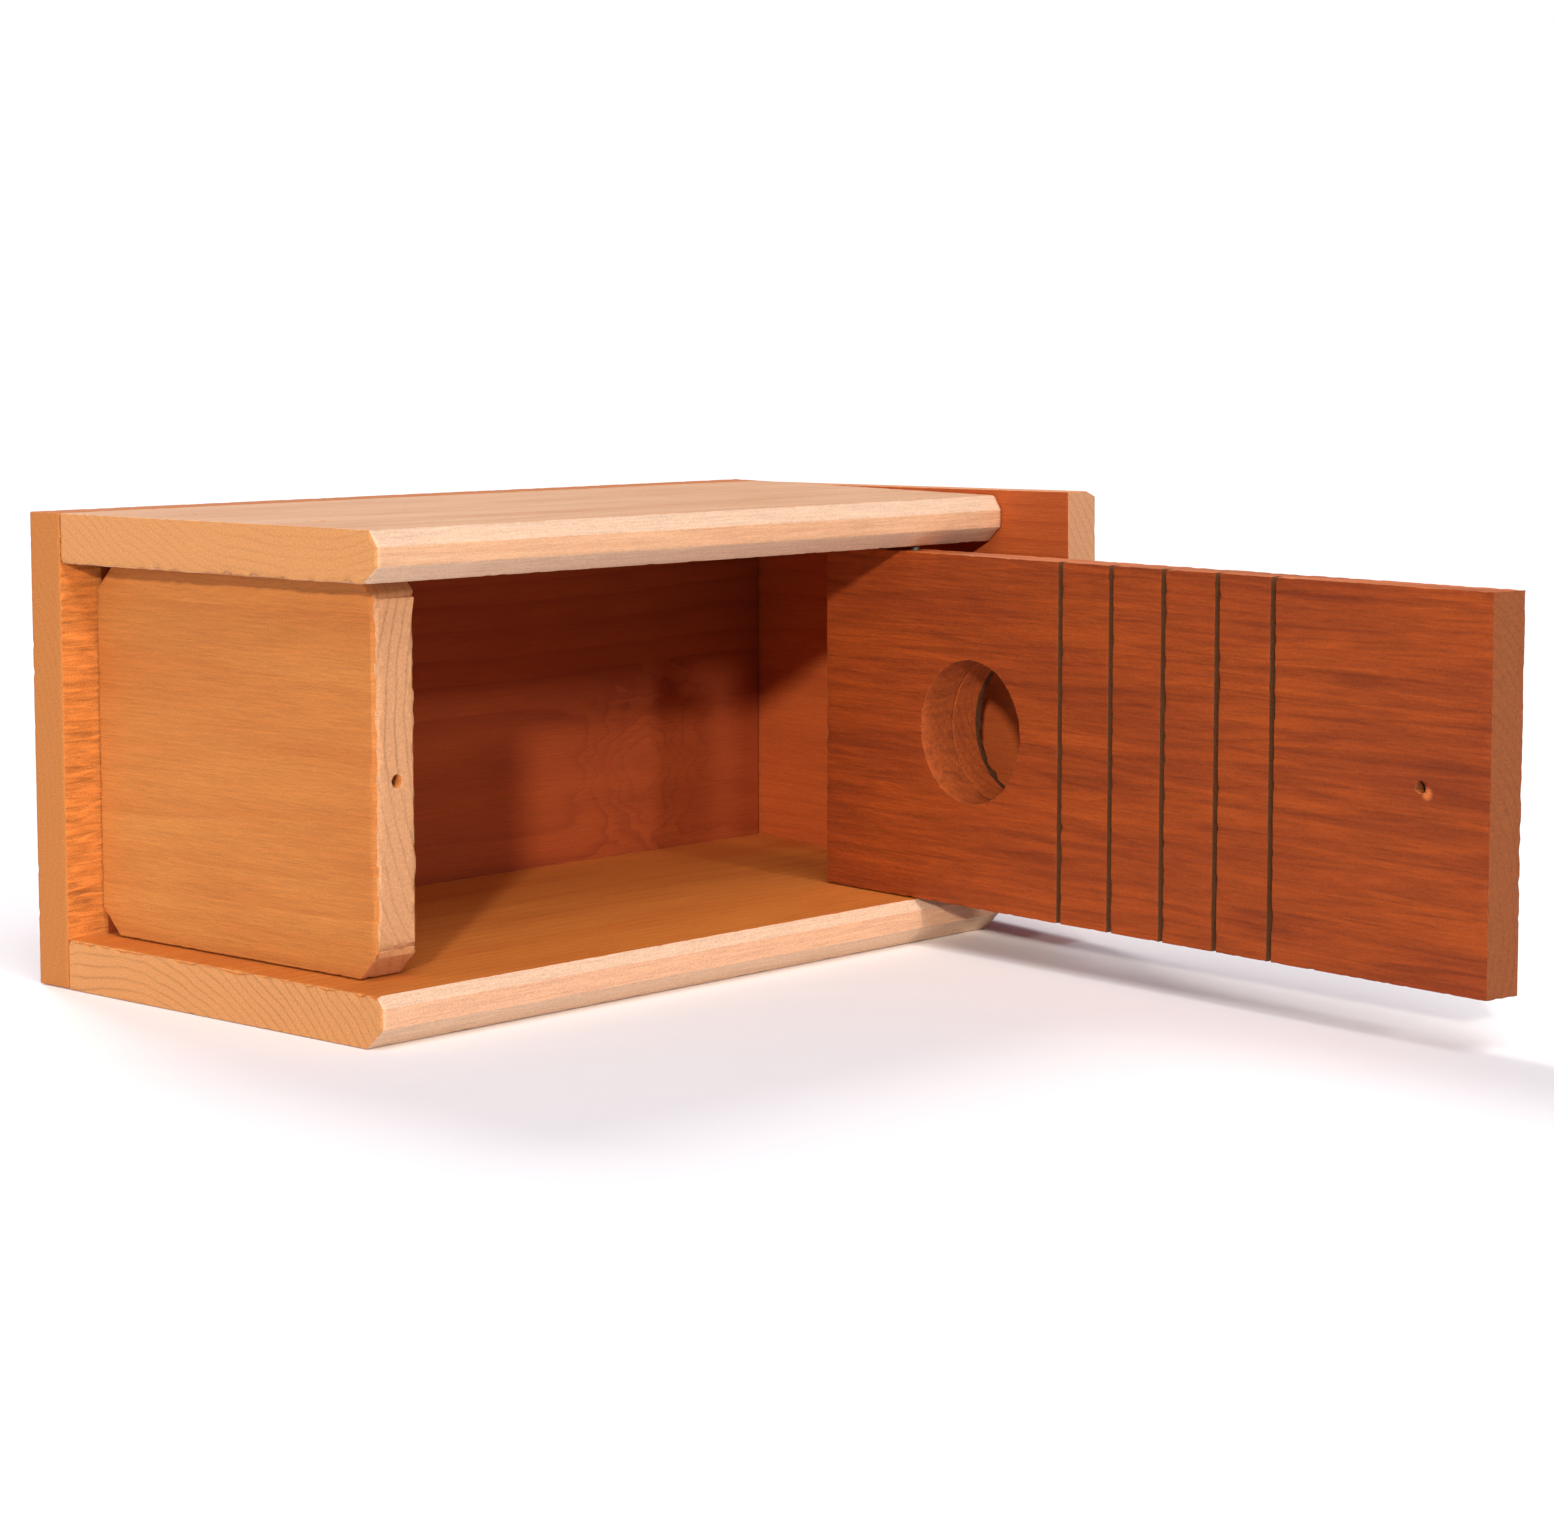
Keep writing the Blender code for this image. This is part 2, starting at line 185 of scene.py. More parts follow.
def painted_shade_level(name, point, in_hole):
    """Painted shade on a face, from 0 to 1: dark colour in the fledglings' kerfs for the shade inside them,
    and on the entrance's torn outer rim for the shadow in the gap there.
    """
    if name == "entrance_guard":
        # Painted shadow: the entrance's wall next to the guard's outer face is darkened for the shade in the
        # narrow gap beside it
        return RIM_PAINTED_SHADOW if in_hole and point.y < GUARD_OUTER_Y + 2.2 * MM else 0.0
    nearest = min(abs(point.x - kerf_x) for kerf_x in KERFS_X)
    in_kerf = nearest < 0.75 * MM and KERF_FLOOR_Y - 0.05 * MM < point.y < DOOR_INNER_Y - 0.02 * MM
    # Painted shade: the kerfs' walls and floors are darkened for the shade inside these grooves
    return KERF_PAINTED_SHADE if name == "front_door" and in_kerf else 0.0


def how_pale(name, point, normal):
    """How pale a face is: how much of its sapwood a board shows, and on the roof's and the door's faces that
    face up, pale colour that is partly sapwood and partly a painted highlight for the light from above.
    """
    if name in FRONT_PALE:
        bevel = -0.9 < normal.y <= -0.35
        front = normal.y <= -0.9
        return 1.0 if bevel else FRONT_PALE[name] if front else 0.0
    if name == "back_board":
        torn = normal.y < -0.7 and point.x < TORN_PALE_END
        long_edge = abs(normal.z) > 0.6
        return 1.0 if torn else EDGE_PALE if long_edge else 0.0
    # On the roof and the door the upward faces are pale: partly sapwood, partly a painted highlight for the
    # light from above
    return 1.0 if name in ("roof_board", "front_door") and normal.z > 0.5 else 0.0


def arrises(shape, name):
    """The long outer edges of a board, and the rims of the entrance hole."""
    found = []
    for edge in shape.edges:
        if len(edge.link_faces) != 2 or edge.calc_face_angle(0.0) < CUT_FACE_ANGLE:
            continue
        long_edge = edge.calc_length() > SHORTEST_ARRIS and edge.is_convex
        rim = name in DOOR_BOARDS and is_entrance_rim(edge) and edge.calc_face_angle() > RIM_ANGLE
        if long_edge or rim:
            found.append(edge)
    return found


def slice_up(shape, size):
    for axis in range(3):
        values = [vertex.co[axis] for vertex in shape.verts]
        low, high = min(values), max(values)
        count = max(2, round((high - low) / size))
        normal = Vector((axis == 0, axis == 1, axis == 2))
        for step in range(1, count):
            place = normal * (low + (high - low) * step / count)
            geometry = [*shape.verts, *shape.edges, *shape.faces]
            bmesh.ops.bisect_plane(shape, geom=geometry, dist=WELD, plane_co=place, plane_no=normal)


def clean_solid(name):
    """A CAD board in its own frame, with its flat faces whole again."""
    shape = bmesh.new()
    shape.from_mesh(frame["nodes"][name].data)
    shape.transform(FRAMES[name].inverted())
    bmesh.ops.remove_doubles(shape, verts=shape.verts, dist=WELD)
    bmesh.ops.dissolve_limit(shape, angle_limit=math.radians(1), verts=shape.verts, edges=shape.edges)
    return shape


def ease_arrises(shape, name):
    """Rounds the arrises off. Their faces are told by a material index of 1."""
    for face in shape.faces:
        face.material_index = 0
    edges = arrises(shape, name)
    eased = bmesh.ops.bevel(
        shape, geom=edges, offset=EASING, segments=2, profile=0.5, affect="EDGES", clamp_overlap=True
    )
    for face in eased["faces"]:
        face.material_index = 1


def mark_faces(shape, name):
    """Notes each point's place along the grain, in millimetres, and each face's marks, for the material."""
    grain = shape.verts.layers.float_vector.new("grain")
    for vertex in shape.verts:
        vertex[grain] = vertex.co / MM
    end, pale, groove = (shape.faces.layers.float.new(mark) for mark in MARKS)
    for face in shape.faces:
        middle = face.calc_center_median()
        in_hole = name in DOOR_BOARDS and from_entrance(middle) < 0.3 * MM
        across_grain = min(1.0, max(0.0, (abs(face.normal.x) - 0.45) / 0.4))
        face[end] = 0.0 if in_hole else across_grain
        face[pale] = HOLE_PALE if in_hole else how_pale(name, middle, face.normal)
        # The painted shade of the kerfs and of the guard's outer rim
        face[groove] = painted_shade_level(name, middle, in_hole)


def wear_down(shape, worn):
    """Moves each point into the wood. worn(point, normal, on_arris) is how far."""
    moves = []
    for vertex in shape.verts:
        on_arris = any(face.material_index == 1 for face in vertex.link_faces)
        moves.append(vertex.normal * -worn(vertex.co, vertex.normal, on_arris))
    for vertex, move in zip(shape.verts, moves):
        vertex.co += move


def shaped_board(name, body, worn):
    """Replaces a CAD board by its worked copy."""
    shape = clean_solid(name)
    ease_arrises(shape, name)
    slice_up(shape, FACE_SIZE)
    shape.normal_update()
    mark_faces(shape, name)
    wear_down(shape, worn)
    for face in shape.faces:
        face.material_index = 0
        face.smooth = True

    mesh = bpy.data.meshes.new(name + "_wood")
    shape.to_mesh(mesh)
    shape.free()
    mesh.transform(FRAMES[name])
    mesh.set_sharp_from_angle(angle=math.radians(50))
    board = bpy.data.objects.new(name + "_wood", mesh)
    bpy.context.scene.collection.objects.link(board)
    weighted = board.modifiers.new("weighted", "WEIGHTED_NORMAL")
    weighted.keep_sharp = True
    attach(board, body)
    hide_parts(name)
    return board


def planed(amount=0.03):
    """A smooth board: a little unevenness, and arrises with small nicks."""

    def worn(point, normal, on_arris):
        depth = amount * (1 + bumps(point, (60, 260, 260))) * MM
        if on_arris:
            nick = max(0.0, bumps(point, (420, 420, 420), 3.0) - 0.15)
            depth += 0.45 * nick * MM
        return depth

    return worn


def sawn(amount):
    """A rough board: waves of torn grain that run along it."""

    def worn(point, normal, on_arris):
        depth = amount * (1 + bumps(point, (90, 420, 620), 5.0)) * MM
        if on_arris:
            nick = max(0.0, bumps(point, (380, 380, 380), 8.0) - 0.1)
            depth += 0.7 * nick * MM
        return depth

    return worn


def worn_back(point, normal, on_arris):
    """The back board's inner face is torn where it shows beyond the floor board."""
    depth = planed()(point, normal, on_arris)
    if normal.y < -0.7 and point.x < TORN_END:
        ridge = bumps(point, (110, 100, 520), 2.0) + 0.6 * bumps(point, (300, 100, 1100), 4.0)
        depth += (0.22 + 0.22 * ridge) * MM
    return depth


def worn_guard(point, normal, on_arris):
    """The drill tore the entrance hole's outer rim, on the guard."""
    depth = sawn(0.07)(point, normal, on_arris)
    if from_entrance(point) < 1.5 * MM and point.y < GUARD_OUTER_Y + 1.2 * MM:
        depth += 1.1 * max(0.0, 0.35 + bumps(point, (300, 300, 300), 12.0)) * MM
    return depth


def worn_floor(point, normal, on_arris):
    """The floor board's front edge, which is end grain, is ragged."""
    depth = planed()(point, normal, on_arris)
    if point.x < FLOOR_FRONT + 1.2 * MM:
        depth += 0.10 * (1 + bumps(point, (600, 600, 700), 6.0)) * MM
        if on_arris:
            depth += 0.8 * (1 + bumps(point, (500, 500, 260), 9.0)) * MM
    return depth


def worn_side(inner_z):
    """The saw left the arris between a side's floor end and its inner face ragged."""

    def worn(point, normal, on_arris):
        depth = planed()(point, normal, on_arris)
        if on_arris and point.x < 1.0 * MM and abs(point.z - inner_z) < 1.0 * MM:
            depth += 1.1 * max(0.0, 0.3 + bumps(point, (500, 300, 500), 7.0)) * MM
        return depth

    return worn


# ---------------------------------------------------------------- fasteners


def top_centre(name, outward):
    """The middle of a fastener's head: its highest ring of points, seen along its own axis."""
    points = [vertex.co for vertex in frame["nodes"][name].data.vertices]
    top = max(point.dot(outward) for point in points)
    highest = [point for point in points if top - point.dot(outward) < 0.01 * MM]
    ring = {tuple(round(value, 7) for value in point) for point in highest}
    return sum((Vector(point) for point in ring), Vector()) / len(ring)


def lathe(name, rings, segments, node, body, outward, look):
    """Replaces a CAD fastener by a turned one. Each ring gives (radius, height) at an angle, top first."""
    shape = bmesh.new()
    loops = []
    for ring in rings:
        loop = []
        for step in range(segments):
            angle = 2 * math.pi * step / segments
            radius, height = ring(angle)
            loop.append(shape.verts.new((radius * math.cos(angle), radius * math.sin(angle), height)))
        loops.append(loop)
    for upper, lower in zip(loops, loops[1:]):
        for step in range(segments):
            after = (step + 1) % segments
            shape.faces.new((upper[step], lower[step], lower[after], upper[after]))
    shape.faces.new(loops[0])
    shape.faces.new(reversed(loops[-1]))
    bmesh.ops.recalc_face_normals(shape, faces=shape.faces)
    for face in shape.faces:
        face.smooth = True
    turn = outward.to_track_quat("Z", "Y").to_matrix().to_4x4()
    shape.transform(Matrix.Translation(top_centre(node, outward)) @ turn)
    mesh = bpy.data.meshes.new(name)
    shape.to_mesh(mesh)
    shape.free()
    mesh.set_sharp_from_angle(angle=math.radians(40))
    mesh.materials.append(look)
    piece = bpy.data.objects.new(name, mesh)
    bpy.context.scene.collection.objects.link(piece)
    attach(piece, body)
    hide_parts(node)
    return piece


def steady(radius, height):
    return lambda angle: (radius, height)


def nail_rings(length):
    """A wire nail: a domed head, gripping rings under it, a plain shank and a point."""
    head = [(0.35, 0.0), (1.0, -0.04), (1.45, -0.16), (1.68, -0.45)]
    head += [(1.70, -0.9), (1.55, -1.25), (1.15, -1.4)]
    grip = [(1.12 if step % 2 else 0.98, -2.4 - 0.45 * step) for step in range(14)]
    tip = 0.05 - length
    shank = [(1.15, -9.5), (1.15, tip + 2.95), (0.75, tip + 1.55), (0.06, tip)]
    return [steady(radius * MM, height * MM) for radius, height in [*head, (1.15, -1.9), *grip, *shank]]


def screw_rings():
    """A wood screw: a domed head with a cross recess, and a thread that tapers to a point."""
    dome = [(0.02, 0.0), (0.4, -0.01), (0.8, -0.03), (1.2, -0.06), (1.6, -0.12), (2.0, -0.22), (2.5, -0.44)]
    head = [(2.9, -0.75), (3.2, -1.25), (3.3, -1.75), (3.25, -2.2), (3.0, -2.3), (1.25, -2.32)]
    shank_top = 2.4
    shank = SCREW_LENGTH - 0.1 - shank_top
    steps = 190
    rings = [recessed(radius * MM, height * MM) for radius, height in dome]
    rings += [steady(radius * MM, height * MM) for radius, height in head]
    rings += [threaded(-(shank_top + shank * step / steps) * MM) for step in range(steps + 1)]
    return rings


def recessed(radius, height):
    """A ring of the screw's head, let down where the arms of the cross recess run."""

    def ring(angle):
        across = min(abs(math.sin(angle)), abs(math.cos(angle))) * radius
        depth = max(0.0, 1.0 - across / (0.42 * MM)) ** 0.5 if across < 0.42 * MM else 0.0
        reach = max(0.0, 1.0 - radius / (2.0 * MM)) ** 0.5
        return radius, height - 1.3 * MM * depth * reach

    return ring


def threaded(height):
    pitch = SCREW_PITCH * MM
    tip = min(1.0, (SCREW_LENGTH * MM + height) / (4.0 * MM))
    run_in = min(1.0, max(0.0, (-height - 5.0 * MM) / (1.5 * MM)))

    def ring(angle):
        turn = (height / pitch + angle / (2 * math.pi)) % 1.0
        crest = max(0.0, 1.0 - abs(turn - 0.5) / 0.22)
        return (0.80 + 0.38 * crest * run_in) * tip * MM + 0.02 * MM, height

    return ring


# ---------------------------------------------------------------- materials


class Nodes:
    """A material's nodes, added by short calls that return an output."""

    def __init__(self, name):
        self.material = bpy.data.materials.new(name)
        self.material.use_nodes = True
        self.tree = self.material.node_tree
        self.shader = self.tree.nodes["Principled BSDF"]

    def add(self, kind, *inputs, out=0, **settings):
        node = self.tree.nodes.new(kind)
        for key, value in settings.items():
            setattr(node, key, value)
        for index, value in enumerate(inputs):
            self.put(node.inputs[index], value)
        return node.outputs[out]

    def put(self, socket, value):
        if isinstance(value, bpy.types.NodeSocket):
            self.tree.links.new(value, socket)
        elif socket.type == "VECTOR":
            socket.default_value = value[:3]
        else:
            socket.default_value = value

    def maths(self, operation, first, second=0.0, third=0.0, clamp=False):
        return self.add("ShaderNodeMath", first, second, third, operation=operation, use_clamp=clamp)

    def scaled(self, vector, scale, shift=(0, 0, 0)):
        return self.add("ShaderNodeMapping", vector, shift, (0, 0, 0), scale, vector_type="POINT")

    def noise(self, vector, size, detail=2.0, roughness=0.5, distortion=0.0):
        """Noise around 0.5, with features about this many millimetres long in X, Y and Z."""
        node = self.tree.nodes.new("ShaderNodeTexNoise")
        self.put(node.inputs["Vector"], self.scaled(vector, tuple(1 / length for length in size)))
        node.inputs["Scale"].default_value = 1.0
        node.inputs["Detail"].default_value = detail
        node.inputs["Roughness"].default_value = roughness
        node.inputs["Distortion"].default_value = distortion
        return node.outputs["Fac"]

    def curve(self, value, points):
        """A value through a ramp of (position, level) points."""
        node = self.tree.nodes.new("ShaderNodeValToRGB")
        ramp = node.color_ramp
        for position, level in points[2:]:
            ramp.elements.new(position)
        for element, (position, level) in zip(ramp.elements, sorted(points)):
            element.position = position
            element.color = (level, level, level, 1.0)
        self.put(node.inputs["Fac"], value)
        return node.outputs["Color"]

    def mix(self, share, first, second):
        node = self.tree.nodes.new("ShaderNodeMix")
        node.data_type = "RGBA"
        self.put(node.inputs["Factor"], share)
        self.put(node.inputs[6], first)
        self.put(node.inputs[7], second)
        return node.outputs[2]

    def product(self, *values):
        result = values[0]
        for value in values[1:]:
            result = self.maths("MULTIPLY", result, value)
        return result

    def around(self, value, amount, level, middle=0.5):
        """A level raised and lowered by noise."""
        return self.maths("MULTIPLY_ADD", self.maths("SUBTRACT", value, middle), amount, level)

    def bump(self, height, strength, distance):
        node = self.tree.nodes.new("ShaderNodeBump")
        node.inputs["Strength"].default_value = strength
        node.inputs["Distance"].default_value = distance
        self.put(node.inputs["Height"], height)
        self.put(self.shader.inputs["Normal"], node.outputs["Normal"])

    def scale_colour(self, colour, level):
        node = self.tree.nodes.new("ShaderNodeVectorMath")
        node.operation = "SCALE"
        self.put(node.inputs[0], colour)
        self.put(node.inputs["Scale"], level)
        return node.outputs[0]


def rgb(red, green, blue):
    """A colour from 0 to 255 in display values, as the linear colour that a shader takes."""
    linear = []
    for value in (red, green, blue):
        value /= 255
        linear.append(value / 12.92 if value <= 0.04045 else ((value + 0.055) / 1.055) ** 2.4)
    return (*linear, 1.0)


def ring_phase(nodes, place, pith, figure):
    """How far through a year's ring a point is, from 0 to 1, by its distance to the pith."""
    wander = nodes.maths("SUBTRACT", nodes.noise(place, (140, 30, 30), 2.0), 0.5)
    parts = nodes.add("ShaderNodeSeparateXYZ", place).node
    off_y = nodes.maths("SUBTRACT", parts.outputs["Y"], pith[0])
    off_z = nodes.maths("SUBTRACT", parts.outputs["Z"], pith[1])
    squares = nodes.maths("ADD", nodes.product(off_y, off_y), nodes.product(off_z, off_z))
    radius = nodes.maths("ADD", nodes.maths("SQRT", squares), nodes.product(wander, figure["wave"] * 2))
    for knot_x, knot_y, knot_z, width, lift in figure["knots"]:
        away = nodes.add("ShaderNodeVectorMath", place, (knot_x, knot_y, knot_z), operation="DISTANCE", out=1)
        ragged = nodes.maths("MULTIPLY_ADD", nodes.noise(place, (18, 9, 9), 2.0), 1.1, 0.45)
        share = nodes.maths("DIVIDE", nodes.product(away, ragged), width)
        bell = nodes.maths("EXPONENT", nodes.product(share, share, -1.0))
        radius = nodes.maths("ADD", radius, nodes.product(bell, lift))
    uneven = nodes.product(nodes.noise(place, (400, 22, 22), 2.0), 1.6)
    return nodes.maths("FRACT", nodes.maths("ADD", nodes.maths("DIVIDE", radius, figure["spacing"]), uneven))


def wood_pattern(nodes, place, pith, figure):
    """The year's rings, and the fibres, pores and slow changes of colour, all longest along the grain."""
    phase = ring_phase(nodes, place, pith, figure)
    return {
        "ring": nodes.curve(phase, FACE_RING),
        "end_ring": nodes.curve(phase, END_RING),
        "streak": nodes.noise(place, (16, 0.55, 0.55), 3.0, 0.6),
        "fine": nodes.noise(place, (3.0, 0.28, 0.28), 2.0, 0.6),
        "pores": nodes.noise(place, (0.45, 0.45, 0.45), 2.0, 0.7),
        "patches": nodes.noise(place, (70, 16, 16), 2.0),
        "blotch": nodes.noise(place, (48, 7, 2.6), 4.0, 0.6, 1.0),
        "ridges": nodes.noise(place, (11, 11, 1.5), 3.0, 0.6, 0.5),
        "torn": nodes.noise(place, (7.0, 1.6, 1.1), 2.0, 0.6, 0.8),
        "fade": nodes.curve(nodes.noise(place, (90, 24, 24), 2.0), [(0.35, 0.35), (0.65, 1.0)]),
    }


def darker(colour, share):
    return (*(share * value for value in colour[:3]), 1.0)


def wood_colour(nodes, place, marks, pattern, colours, figure):
    """The figure and stains of a face, or its end grain, and the painted shade in the kerfs and at the
    entrance's outer rim.
    """
    ring_share = nodes.product(pattern["ring"], figure["ring_share"], pattern["fade"])
    colour = nodes.mix(ring_share, colours["early"], colours["late"])
    colour = nodes.mix(nodes.curve(pattern["patches"], [(0.3, 0.0), (0.75, 0.55)]), colour, colours["late"])
    speckled = nodes.maths("MULTIPLY_ADD", pattern["pores"], 0.5, 0.65, clamp=True)
    colour = nodes.mix(nodes.product(marks["pale"], speckled), colour, colours["sap"])
    band = nodes.curve(pattern["blotch"], [(0.4, 0.0), (0.72, 1.0)])
    colour = nodes.mix(nodes.product(band, figure["blotches"]), colour, darker(colours["late"], BLOTCH_SHARE))
    for chip_x, chip_y, chip_z, reach in figure["chips"]:
        away = nodes.add("ShaderNodeVectorMath", place, (chip_x, chip_y, chip_z), operation="DISTANCE", out=1)
        share = nodes.curve(nodes.maths("DIVIDE", away, reach), [(0.4, 0.9), (1.0, 0.0)])
        colour = nodes.mix(share, colour, colours["sap"])
    end_share = nodes.product(pattern["end_ring"], figure["end_share"], pattern["fade"])
    end_colour = nodes.mix(end_share, colours["end"], darker(colours["end"], END_LATE_SHARE))
    colour = nodes.mix(marks["end"], colour, end_colour)
    # Painted shade: near-black over the kerfs and the guard's outer rim
    return nodes.mix(marks["groove"], colour, PAINTED_SHADE_COLOUR)


def wood_relief(nodes, pattern, ridged, rough):
    """How high the surface stands."""
    rise = nodes.maths("MULTIPLY_ADD", pattern["streak"], 0.5, nodes.product(pattern["fine"], 0.35))
    rise = nodes.maths("MULTIPLY_ADD", pattern["pores"], 0.45, rise)
    rise = nodes.maths("MULTIPLY_ADD", pattern["torn"], 0.4 + 1.6 * rough, rise)
    rise = nodes.maths("MULTIPLY_ADD", pattern["ridges"], nodes.product(ridged, 1.6), rise)
    return nodes.maths("MULTIPLY_ADD", pattern["ring"], -0.25, rise)


def wood(name, colours, pith, **changes):
    """Sawn cedar. pith is its place (Y, Z); changes are to PLAIN_FIGURE."""
    figure = {**PLAIN_FIGURE, **changes}
    fibre, rough = figure["fibre"], figure["rough"]
    nodes = Nodes(name)
    place = nodes.add("ShaderNodeAttribute", attribute_name="grain", out=1)
    marks = {mark: nodes.add("ShaderNodeAttribute", attribute_name=mark, out=2) for mark in MARKS}
    pattern = wood_pattern(nodes, place, pith, figure)
    ridged = nodes.product(nodes.maths("POWER", marks["pale"], 12.0), figure["ridge_share"])

    level = nodes.around(pattern["streak"], fibre, 1.0)
    level = nodes.around(pattern["fine"], fibre * 0.7, level)
    level = nodes.around(pattern["pores"], 0.6, level)
    level = nodes.around(pattern["torn"], rough, level)
    level = nodes.around(pattern["ridges"], ridged, level, middle=0.52)
    colour = wood_colour(nodes, place, marks, pattern, colours, figure)
    nodes.put(nodes.shader.inputs["Base Color"], nodes.scale_colour(colour, level))

    nodes.bump(wood_relief(nodes, pattern, ridged, rough), 0.8, (0.16 + 0.25 * rough) * MM)
    nodes.put(nodes.shader.inputs["Roughness"], nodes.maths("MULTIPLY_ADD", pattern["fine"], 0.25, 0.62))
    nodes.shader.inputs["Specular IOR Level"].default_value = 0.25
    return nodes.material


def steel(name, tone, roughness):
    """Dull zinc plating with cloudy patches and fine scratches. Its place is in metres."""
    nodes = Nodes(name)
    place = nodes.add("ShaderNodeTexCoord", out=3)
    cloud = nodes.noise(place, (0.0012, 0.0012, 0.0012), 3.0)
    scratch = nodes.noise(place, (0.00012, 0.0025, 0.0025), 2.0)
    level = nodes.maths("MULTIPLY_ADD", cloud, 0.35, 0.82)
    nodes.put(nodes.shader.inputs["Base Color"], nodes.scale_colour(tone, level))
    nodes.put(nodes.shader.inputs["Roughness"], nodes.maths("MULTIPLY_ADD", cloud, 0.4, roughness))
    nodes.shader.inputs["Metallic"].default_value = 1.0
    nodes.bump(scratch, 0.4, 0.03 * MM)
    return nodes.material


# ---------------------------------------------------------------- the object

FRAMES = board_frames()

SIDE_SAP = rgb(213, 183, 156)
LEFT_WOOD = {
    "early": rgb(213, 169, 130),
    "late": rgb(192, 132, 90),
    "end": rgb(198, 139, 85),
    "sap": SIDE_SAP,
}
RIGHT_WOOD = {
    "early": rgb(204, 123, 50),
    "late": rgb(184, 95, 34),
    "end": rgb(198, 139, 85),
    "sap": SIDE_SAP,
}
FLOOR_WOOD = {
    "early": rgb(191, 124, 61),
    "late": rgb(171, 96, 43),
    "end": rgb(192, 141, 100),
    "sap": rgb(191, 124, 61),
}
# The roof's pale colour shows only on its upward face, as sapwood and as a painted highlight
ROOF_WOOD = {
    "early": rgb(195, 96, 43),
    "late": rgb(170, 76, 34),
    "end": rgb(181, 131, 94),
    "sap": rgb(214, 150, 98),
}
BACK_WOOD = {
    "early": rgb(159, 72, 31),
    "late": rgb(127, 49, 21),
    "end": rgb(179, 113, 56),
    "sap": rgb(200, 122, 55),
}
DOOR_WOOD = {
    "early": rgb(164, 73, 21),
    "late": rgb(115, 41, 17),
    "end": rgb(128, 69, 32),
    "sap": rgb(205, 112, 55),
}

# Each board: the body it moves with, its wear and its wood
BOARDS = {
    "left_side": (
        "box",
        worn_side(LEFT_INNER_Z),
        wood("left_side_cedar", LEFT_WOOD, (-90, 228), spacing=2.4, ring_share=0.5, end_share=0.3),
    ),
    "right_side": (
        "box",
        worn_side(RIGHT_INNER_Z),
        wood("right_side_cedar", RIGHT_WOOD, (-20, -70), ring_share=0.5, end_share=0.6),
    ),
    "back_board": (
        "box",
        worn_back,
        wood("back_cedar", BACK_WOOD, (95, 40), end_share=0.1, ridge_share=1.7, knots=[(208, 0, 38, 17, 15)]),
    ),
    "floor_board": (
        "box",
        worn_floor,
        wood("floor_cedar", FLOOR_WOOD, (-110, 75), spacing=3.2, ring_share=0.4, end_share=0.6),
    ),
    "roof_board": (
        "box",
        planed(0.05),
        wood("roof_cedar", ROOF_WOOD, (60, 60)),
    ),
    "front_door": (
        "door",
        sawn(0.07),
        wood(
            "door_cedar",
            DOOR_WOOD,
            (45, 30),
            wave=6.0,
            ring_share=0.3,
            rough=0.3,
            blotches=0.5,
            chips=[(-183.3, 5.5, 58.8, 1.9)],
        ),
    ),
    "entrance_guard": (
        "door",
        worn_guard,
        wood("guard_cedar", DOOR_WOOD, (-70, 90), wave=4.0, rough=0.3, blotches=0.3),
    ),
}
for name, (body, worn, cedar) in BOARDS.items():
    board = shaped_board(name, body, worn)
    board.data.materials.append(cedar)

SCREW_STEEL = steel("screw_zinc", rgb(196, 196, 192), 0.25)
# The nails' tone is darker than the screw's: partly the duller grey of bare wire, partly painted shade that
# keeps the pivot nail dark in the gap between the upper side and the door
DULL_SHADED_NAIL_STEEL = steel("nail_steel", rgb(118, 112, 104), 0.45)
# Which way a nail's head faces, by the word in its name
OUTWARD = {
    "back_nail": Vector((0, 1, 0)),
    "roof_nail": ROOF_OUT,
    "guard_nail": -SCREW_IN,
    "nail_left": Vector((0, 0, 1)),
    "nail_right": Vector((0, 0, -1)),
}
for node in sorted(frame["nodes"]):
    if "_nail_" in node:
        outward = next(OUTWARD[word] for word in OUTWARD if word in node)
        in_guard = node.startswith("guard")
        rings = nail_rings(GUARD_NAIL_LENGTH if in_guard else NAIL_LENGTH)
        lathe(node + "_wire", rings, 20, node, "door" if in_guard else "box", outward, DULL_SHADED_NAIL_STEEL)
lathe("closing_screw_turned", screw_rings(), 48, "closing_screw", "closing_screw", -SCREW_IN, SCREW_STEEL)


# ---------------------------------------------------------------- stage, light and camera


def make_floor():
    mesh = bpy.data.meshes.new("ground")
    shape = bmesh.new()
    bmesh.ops.create_grid(shape, x_segments=8, y_segments=8, size=8.0)
    shape.to_mesh(mesh)
    shape.free()
    ground = bpy.data.objects.new("ground", mesh)
    ground.location.z = -0.2 * MM
    bpy.context.scene.collection.objects.link(ground)
    nodes = Nodes("ground_paper")
    place = nodes.add("ShaderNodeTexCoord", out=3)
    tone = nodes.maths("MULTIPLY_ADD", nodes.noise(place, (0.02, 0.02, 0.02), 2.0), 0.02, 0.95)
    nodes.put(nodes.shader.inputs["Base Color"], nodes.scale_colour((0.97, 0.97, 0.97, 1.0), tone))
    nodes.shader.inputs["Roughness"].default_value = 0.9
    nodes.shader.inputs["Specular IOR Level"].default_value = 0.1
    mesh.materials.append(nodes.material)


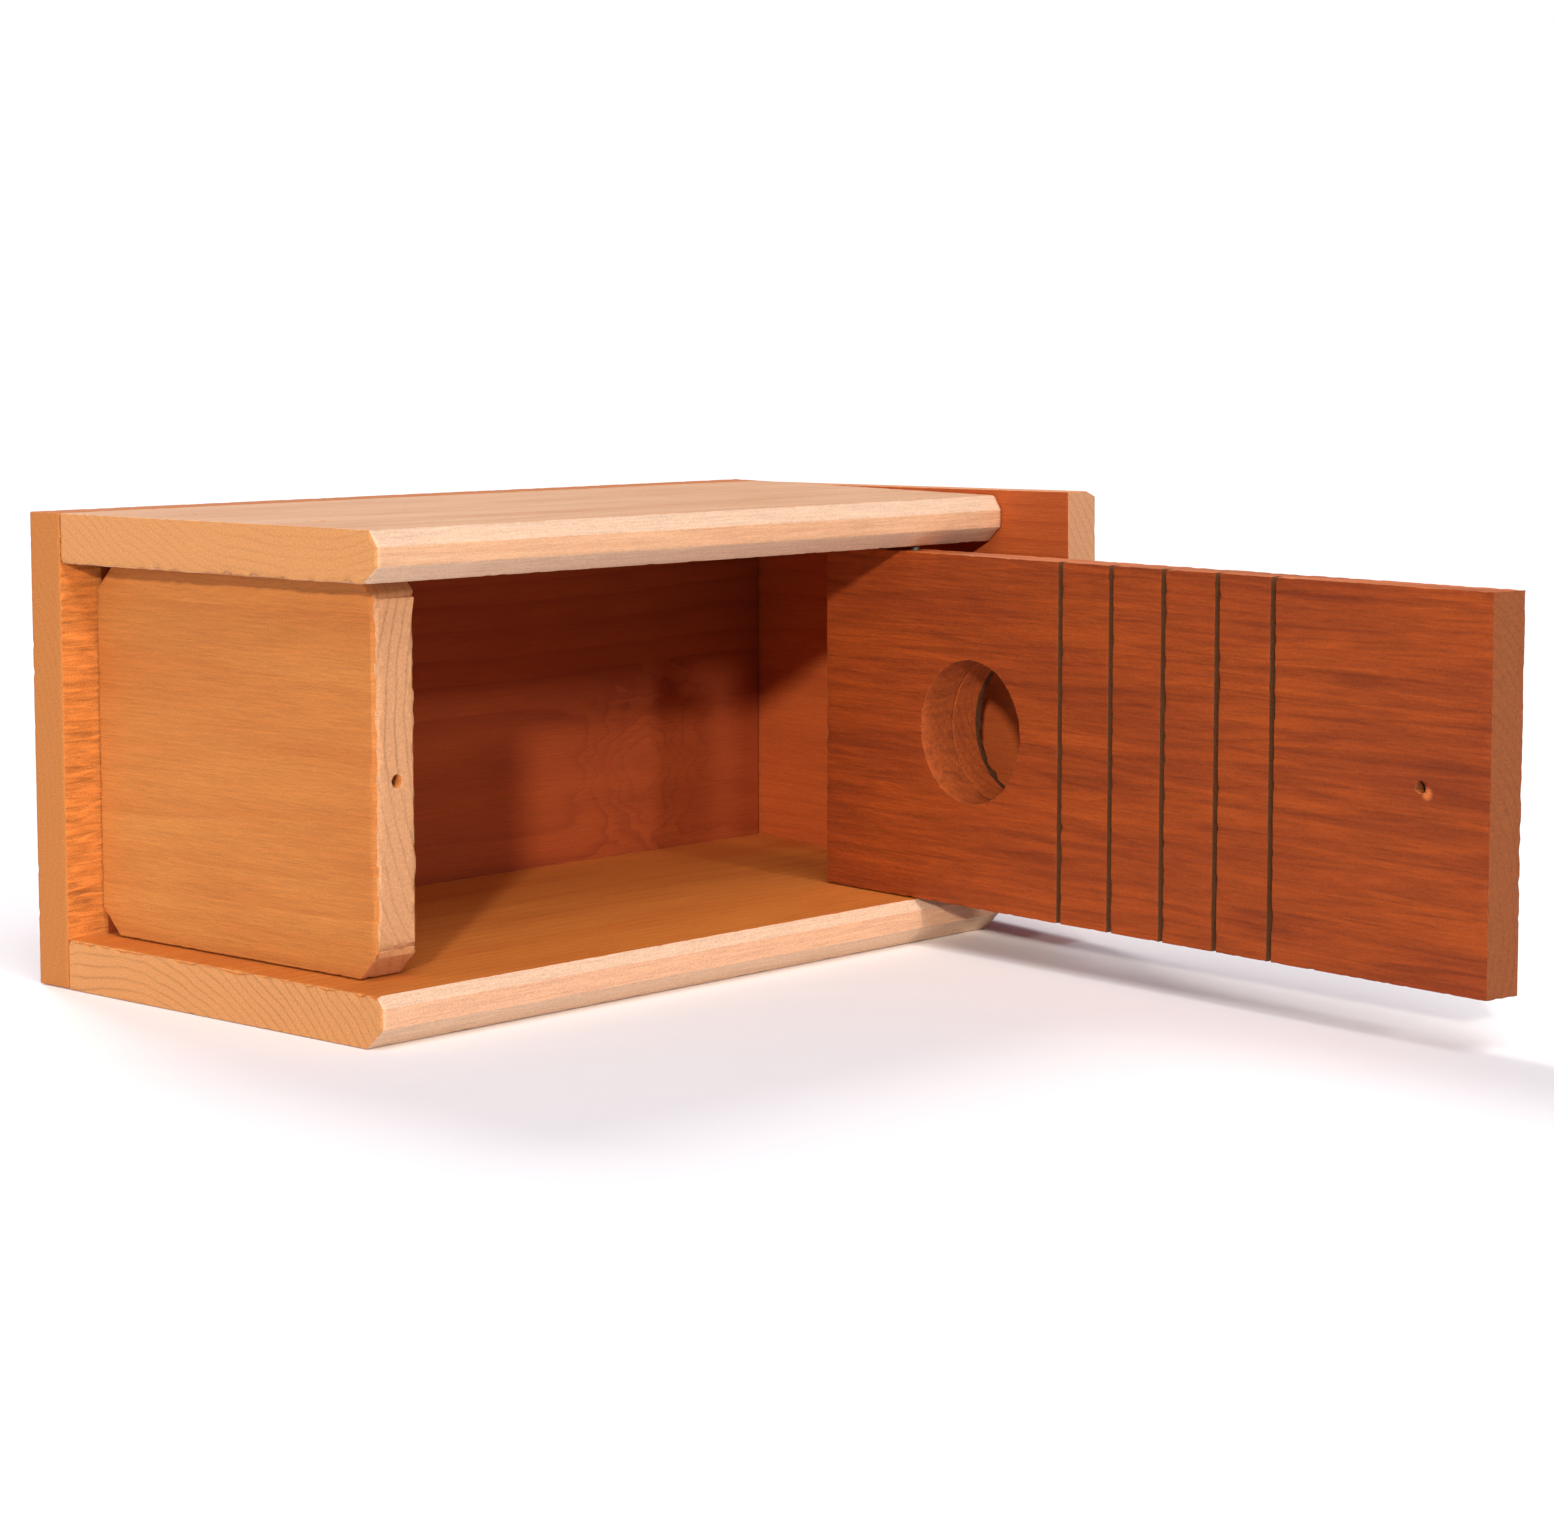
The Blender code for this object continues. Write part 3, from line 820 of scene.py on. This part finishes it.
def make_light(name, direction, strength, colour, angle):
    azimuth, height = (math.radians(value) for value in direction)
    level_part = math.cos(height)
    towards = Vector((-math.sin(azimuth) * level_part, -math.cos(azimuth) * level_part, math.sin(height)))
    light = bpy.data.lights.new(name, "SUN")
    light.energy = strength
    light.color = colour
    light.angle = math.radians(angle)
    lamp = bpy.data.objects.new(name, light)
    lamp.rotation_mode = "QUATERNION"
    lamp.rotation_quaternion = towards.to_track_quat("Z", "Y")
    bpy.context.scene.collection.objects.link(lamp)


def make_world():
    """White where it is seen, and a weak even light elsewhere."""
    world = bpy.data.worlds.new("studio")
    world.use_nodes = True
    tree = world.node_tree
    background = tree.nodes["Background"]
    background.inputs["Color"].default_value = AMBIENT_COLOUR
    background.inputs["Strength"].default_value = AMBIENT
    white = tree.nodes.new("ShaderNodeBackground")
    seen = tree.nodes.new("ShaderNodeLightPath")
    either = tree.nodes.new("ShaderNodeMixShader")
    tree.links.new(seen.outputs["Is Camera Ray"], either.inputs["Fac"])
    tree.links.new(background.outputs["Background"], either.inputs[1])
    tree.links.new(white.outputs["Background"], either.inputs[2])
    tree.links.new(either.outputs["Shader"], tree.nodes["World Output"].inputs["Surface"])
    white.inputs["Color"].default_value = (1.0, 1.0, 1.0, 1.0)
    bpy.context.scene.world = world


def make_camera():
    forward = Vector((-math.sin(CAMERA_AZIMUTH), math.cos(CAMERA_AZIMUTH), 0.0)) * math.cos(CAMERA_FALL)
    forward.z = -math.sin(CAMERA_FALL)
    right = Vector((math.cos(CAMERA_AZIMUTH), math.sin(CAMERA_AZIMUTH), 0.0))
    up = right.cross(forward)
    turned_right = right * math.cos(CAMERA_ROLL) + up * math.sin(CAMERA_ROLL)
    turned_up = up * math.cos(CAMERA_ROLL) - right * math.sin(CAMERA_ROLL)
    data = bpy.data.cameras.new("camera")
    data.lens = CAMERA_LENS
    data.shift_x, data.shift_y = CAMERA_SHIFT
    data.clip_start = 0.05
    camera = bpy.data.objects.new("camera", data)
    camera.matrix_world = (
        Matrix.Translation(BOX_ORIGIN + CAMERA_PLACE)
        @ Matrix((turned_right, turned_up, -forward)).transposed().to_4x4()
    )
    bpy.context.scene.collection.objects.link(camera)
    bpy.context.scene.camera = camera


make_floor()
make_light("key", **KEY)
make_light("side_light", **SIDE_LIGHT)
make_light("high_light", **HIGH_LIGHT)
make_light("back_light", **BACK_LIGHT)
make_world()
make_camera()
bpy.context.scene.view_settings.view_transform = "Standard"
